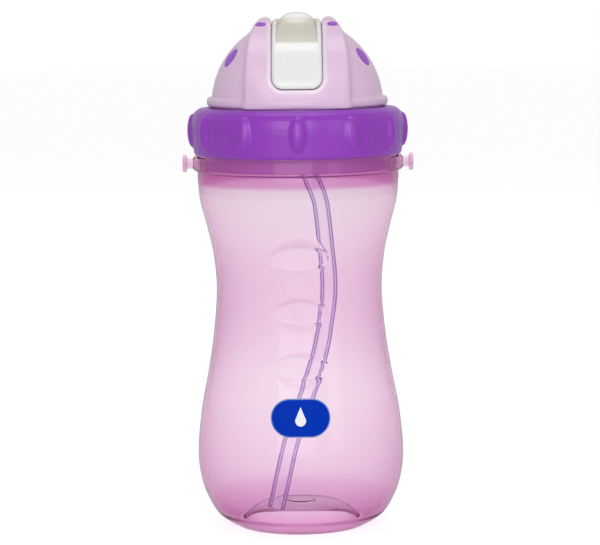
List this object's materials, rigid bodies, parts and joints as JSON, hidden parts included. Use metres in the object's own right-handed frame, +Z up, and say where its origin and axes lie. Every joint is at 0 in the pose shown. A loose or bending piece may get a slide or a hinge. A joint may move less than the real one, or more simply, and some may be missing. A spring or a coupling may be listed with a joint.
{
  "type": "kids water bottle",
  "caption": "Waisted transparent children's water bottle with a ribbed screw collar, a domed lid, a sliding spout shield and a straw.",
  "frame": {"origin": "centre of the base, on the surface that the bottle stands on", "axes": "+Z up along the bottle's axis, -Y towards the front with the slot and the badge, +X towards the right strap stud"},
  "size_m": [0.083, 0.0798, 0.186],
  "materials": {
    "bottle": "clear pink plastic, smooth and glossy",
    "badge": "printed label, smooth",
    "silicone": "milky soft silicone",
    "collar": "moulded purple plastic, glossy",
    "lid_plate": "moulded purple plastic",
    "dome": "moulded pale pink plastic, semi-gloss",
    "shield": "moulded white plastic, semi-gloss",
    "straw": "clear plastic with a light purple tint",
    "dots": "moulded purple plastic, glossy"
  },
  "bodies": {
    "bottle_body": {"bottle": "bottle", "badge_label": "badge"},
    "lid_head": {"dome_cover": "dome", "lid_plate": "lid_plate", "seal_ring": "silicone", "vent_valve": "silicone", "spout_base": "silicone", "straw": "straw", "cheek_dot_front_left": "dots", "cheek_dot_front_right": "dots", "cheek_dot_rear_left": "dots", "cheek_dot_rear_right": "dots", "rail_dot_front_left": "dots", "rail_dot_front_right": "dots", "rail_dot_rear_left": "dots", "rail_dot_rear_right": "dots"},
    "screw_collar": {"collar": "collar"},
    "shield": {"slider_cover": "shield"},
    "spout_end": {"spout_tip": "silicone"}
  },
  "joints": [
    {"name": "screw_rise", "type": "slide", "parent": "bottle_body", "child": "lid_head", "axis": [0, 0, 1], "range_m": [0, 0.005]},
    {"name": "collar_turn", "type": "hinge", "parent": "lid_head", "child": "screw_collar", "pos_m": [0, 0, 0.143], "axis": [0, 0, 1], "range_deg": [0, 450]},
    {"name": "cover_slide", "type": "hinge", "parent": "lid_head", "child": "shield", "pos_m": [0, 0, 0.152], "axis": [-1, 0, 0], "range_deg": [0, 76]},
    {"name": "spout_fold", "type": "hinge", "parent": "lid_head", "child": "spout_end", "pos_m": [0, -0.00524, 0.16869], "axis": [-1, 0, 0], "range_deg": [0, 160]}
  ],
  "couplings": [
    {"joint": "screw_rise", "follows": "collar_turn", "m_per_rad": 0.00063662},
    {"joint": "spout_fold", "follows": "cover_slide", "ratio": 2.1053}
  ]
}
